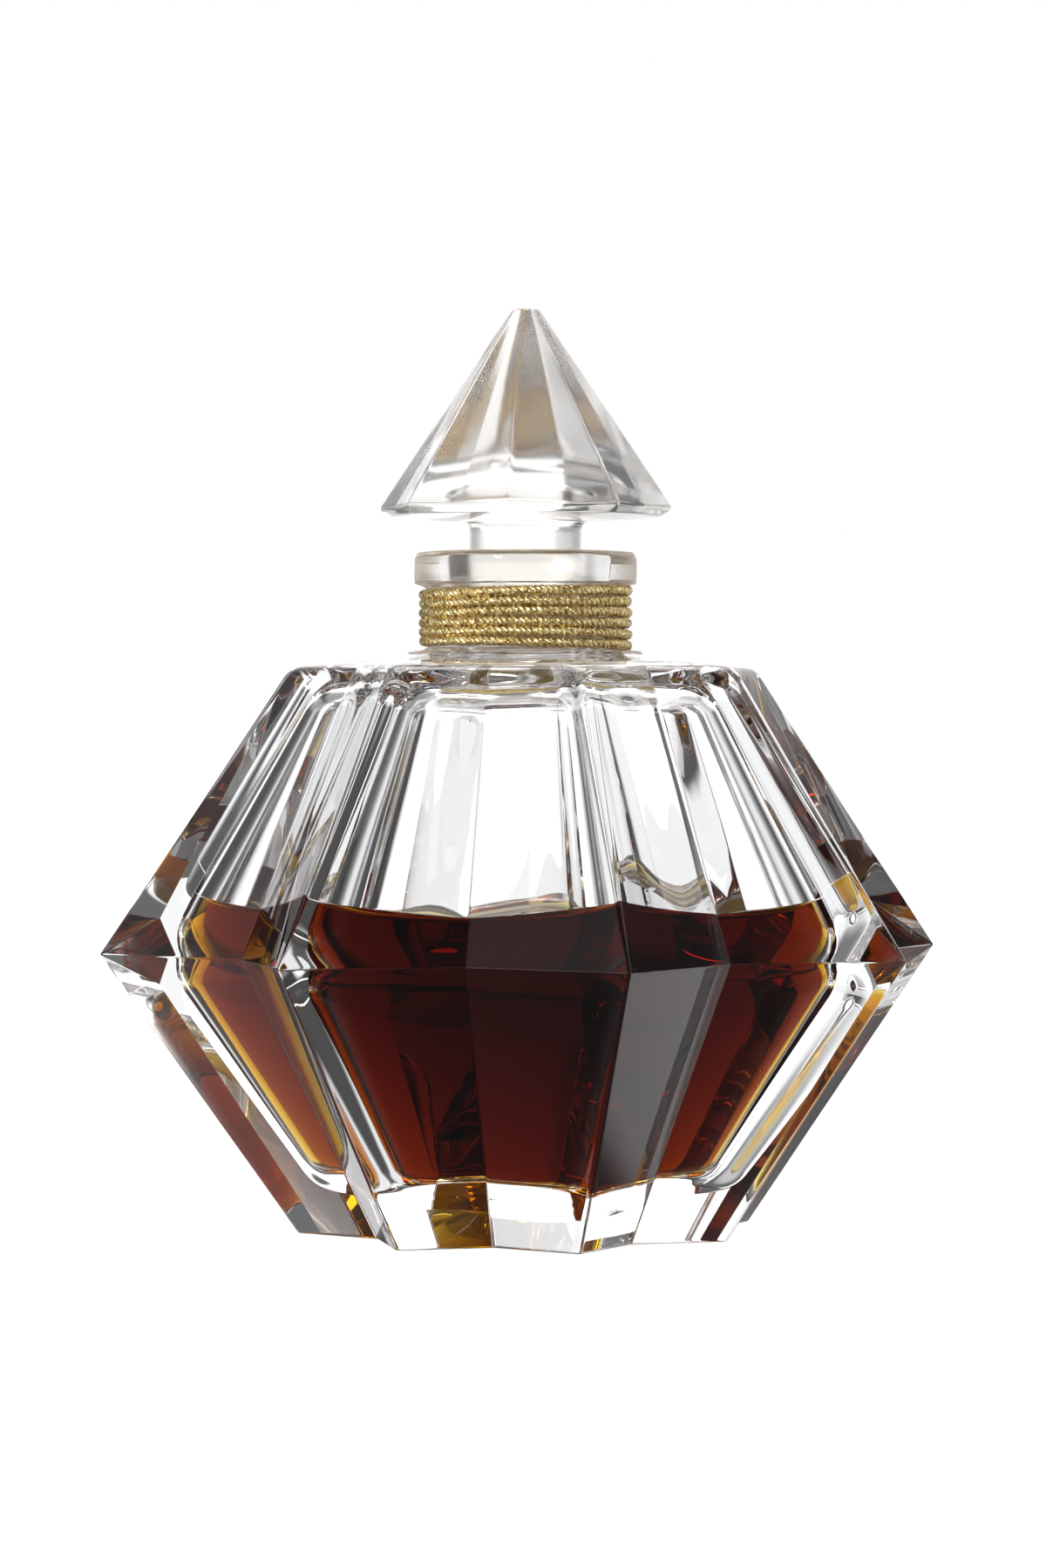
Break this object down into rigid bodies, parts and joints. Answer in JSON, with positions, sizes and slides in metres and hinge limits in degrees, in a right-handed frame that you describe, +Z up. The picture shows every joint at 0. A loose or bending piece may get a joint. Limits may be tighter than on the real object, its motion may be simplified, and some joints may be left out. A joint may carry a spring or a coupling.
{
  "type": "perfume bottle",
  "caption": "Star-plan cut-glass perfume flacon with dark perfume, a lift-out faceted cone stopper and a gold cord seal round its neck.",
  "frame": {"origin": "centre of the flat foot of the flacon, on the surface that it stands on", "axes": "+Z up through the neck and the stopper's tip, -Y towards one ridge of the star, X and Y towards ridges"},
  "size_m": [0.06, 0.06, 0.0643],
  "materials": {
    "flacon_glass": "polished clear crystal",
    "perfume": "clear dark amber liquid",
    "stopper_glass": "polished clear crystal with a ground plug",
    "membrane": "thin translucent skin",
    "gold_thread": "twisted metallic thread"
  },
  "bodies": {
    "flacon": {"glass_body": "flacon_glass", "perfume": "perfume", "seal_membrane": "membrane", "gold_cord": "gold_thread", "cord_knot": "gold_thread"},
    "stopper": {"stopper": "stopper_glass"}
  },
  "joints": [
    {"name": "stopper_lift", "type": "slide", "parent": "flacon", "child": "stopper", "axis": [0, 0, 1], "range_m": [0, 0.03]}
  ]
}
